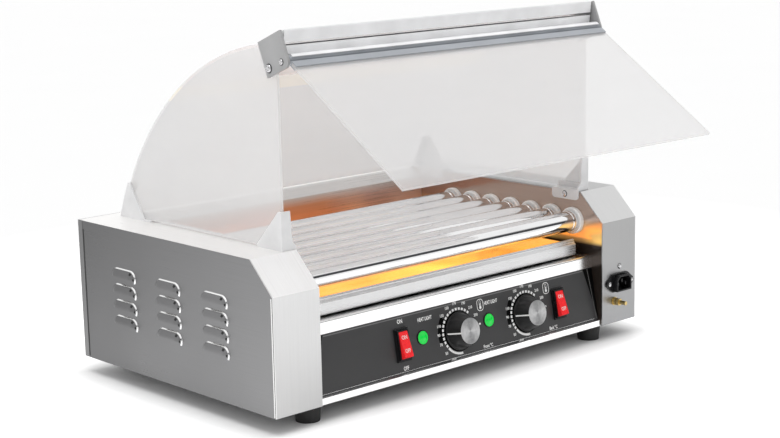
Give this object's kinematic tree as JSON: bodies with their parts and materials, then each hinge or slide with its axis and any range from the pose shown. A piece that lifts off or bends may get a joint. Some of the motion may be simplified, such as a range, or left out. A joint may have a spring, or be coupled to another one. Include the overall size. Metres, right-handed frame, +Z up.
{
  "type": "roller grill",
  "caption": "Countertop hot dog roller grill with chain-driven heated rollers, a drip tray, two heat dials and a hinged clear hood.",
  "frame": {"origin": "middle of the whole outline in plan, at the floor under the rubber feet", "axes": "+X to the right along the rollers, -Y towards the controls and the user, +Z up"},
  "size_m": [0.59, 0.5048, 0.4165],
  "materials": {
    "panel_steel": "fine horizontal brushing",
    "white_steel": "satin white",
    "bright_steel": "polished",
    "plain_steel": "satin",
    "overlay": "satin printed film",
    "roller_chrome": "mirror",
    "drive_steel": "oiled",
    "bush_white": "satin",
    "element_sheath": "oxidised",
    "motor_metal": "cast, satin",
    "knob_black": "satin",
    "spun_aluminium": "turned",
    "lamp_green": "lit lens",
    "rocker_red": "lit key",
    "socket_black": "moulded",
    "brass": "plain",
    "rubber": "matt",
    "acrylic": "clear",
    "bracket_white": "satin white",
    "profile_aluminium": "anodised",
    "cap_grey": "satin",
    "hinge_grey": "extruded",
    "screw_chrome": "bright",
    "thermostat": "ceramic",
    "wiring": "insulated"
  },
  "bodies": {
    "grill_frame": {"base_pan": "plain_steel", "left_side_panel": "panel_steel", "right_side_panel": "panel_steel", "left_housing_cover": "white_steel", "right_housing_cover": "white_steel", "rear_deck": "white_steel", "left_inner_wall": "plain_steel", "right_inner_wall": "plain_steel", "rear_panel": "plain_steel", "tray_shelf": "plain_steel", "front_rail": "bright_steel", "control_panel": "bright_steel", "control_overlay": "overlay", "tray_runners": "plain_steel", "bearing_bushes": "bush_white", "heating_rods": "element_sheath", "element_holders": "plain_steel", "gear_motor": "motor_metal", "motor_bracket": "plain_steel", "drive_chain": "drive_steel", "thermostats": "thermostat", "indicator_lamps": "lamp_green", "rocker_housings": "socket_black", "power_inlet": "socket_black", "earth_stud": "brass", "rubber_feet": "rubber", "hood_side_panels": "acrylic", "hood_back_panel": "acrylic", "front_brackets": "bracket_white", "rear_brackets": "bracket_white", "top_profile": "profile_aluminium", "profile_end_caps": "cap_grey", "fixing_screws": "screw_chrome", "terminal_block_and_wiring": "wiring"},
    "roller_1": {"roller_1": "roller_chrome", "sprocket_1": "drive_steel"},
    "roller_2": {"roller_2": "roller_chrome", "sprocket_2": "drive_steel"},
    "roller_3": {"roller_3": "roller_chrome", "sprocket_3": "drive_steel"},
    "roller_4": {"roller_4": "roller_chrome", "sprocket_4": "drive_steel"},
    "roller_5": {"roller_5": "roller_chrome", "sprocket_5": "drive_steel"},
    "roller_6": {"roller_6": "roller_chrome", "sprocket_6": "drive_steel"},
    "roller_7": {"roller_7": "roller_chrome", "sprocket_7": "drive_steel"},
    "motor_shaft": {"motor_sprocket": "drive_steel"},
    "front_dial": {"front_knob": "knob_black", "front_knob_cap": "spun_aluminium", "front_spindle": "plain_steel"},
    "back_dial": {"back_knob": "knob_black", "back_knob_cap": "spun_aluminium", "back_spindle": "plain_steel"},
    "left_rocker": {"left_rocker_key": "rocker_red"},
    "right_rocker": {"right_rocker_key": "rocker_red"},
    "tray": {"drip_tray": "plain_steel"},
    "flap": {"hinge_strip": "hinge_grey", "flap_panel": "acrylic"}
  },
  "joints": [
    {"name": "roller_1_spin", "type": "hinge", "parent": "grill_frame", "child": "roller_1", "pos_m": [0, -0.05839, 0.147], "axis": [1, 0, 0], "continuous": true, "deforming": ["drive_chain"]},
    {"name": "roller_2_spin", "type": "hinge", "parent": "grill_frame", "child": "roller_2", "pos_m": [0, -0.02346, 0.147], "axis": [1, 0, 0], "continuous": true},
    {"name": "roller_3_spin", "type": "hinge", "parent": "grill_frame", "child": "roller_3", "pos_m": [0, 0.01146, 0.147], "axis": [1, 0, 0], "continuous": true},
    {"name": "roller_4_spin", "type": "hinge", "parent": "grill_frame", "child": "roller_4", "pos_m": [0, 0.04639, 0.147], "axis": [1, 0, 0], "continuous": true},
    {"name": "roller_5_spin", "type": "hinge", "parent": "grill_frame", "child": "roller_5", "pos_m": [0, 0.08131, 0.147], "axis": [1, 0, 0], "continuous": true},
    {"name": "roller_6_spin", "type": "hinge", "parent": "grill_frame", "child": "roller_6", "pos_m": [0, 0.11624, 0.147], "axis": [1, 0, 0], "continuous": true},
    {"name": "roller_7_spin", "type": "hinge", "parent": "grill_frame", "child": "roller_7", "pos_m": [0, 0.15116, 0.147], "axis": [1, 0, 0], "continuous": true},
    {"name": "motor_spin", "type": "hinge", "parent": "grill_frame", "child": "motor_shaft", "pos_m": [-0.243, 0.04639, 0.05947], "axis": [1, 0, 0], "continuous": true},
    {"name": "front_dial_turn", "type": "hinge", "parent": "grill_frame", "child": "front_dial", "pos_m": [-0.0106, -0.09352, 0.05795], "axis": [0, -0.9842, 0.1771], "range_deg": [-140, 105]},
    {"name": "back_dial_turn", "type": "hinge", "parent": "grill_frame", "child": "back_dial", "pos_m": [0.102, -0.09352, 0.05795], "axis": [0, -0.9842, 0.1771], "range_deg": [-140, 105]},
    {"name": "left_rocker_tip", "type": "hinge", "parent": "grill_frame", "child": "left_rocker", "pos_m": [-0.1, -0.09624, 0.05976], "axis": [1, 0, 0], "range_deg": [0, 23]},
    {"name": "right_rocker_tip", "type": "hinge", "parent": "grill_frame", "child": "right_rocker", "pos_m": [0.158, -0.09624, 0.05976], "axis": [1, 0, 0], "range_deg": [0, 23]},
    {"name": "tray_slide", "type": "slide", "parent": "grill_frame", "child": "tray", "axis": [0, -1, 0], "range_m": [0, 0.2]},
    {"name": "flap_hinge", "type": "hinge", "parent": "grill_frame", "child": "flap", "pos_m": [0, -0.08339, 0.3865], "axis": [1, 0, 0], "range_deg": [-50, 58.4]}
  ],
  "couplings": [
    {"joint": "roller_2_spin", "follows": "roller_1_spin", "ratio": 1},
    {"joint": "roller_3_spin", "follows": "roller_1_spin", "ratio": 1},
    {"joint": "roller_4_spin", "follows": "roller_1_spin", "ratio": 1},
    {"joint": "roller_5_spin", "follows": "roller_1_spin", "ratio": 1},
    {"joint": "roller_6_spin", "follows": "roller_1_spin", "ratio": 1},
    {"joint": "roller_7_spin", "follows": "roller_1_spin", "ratio": 1},
    {"joint": "motor_spin", "follows": "roller_1_spin", "ratio": 1}
  ]
}
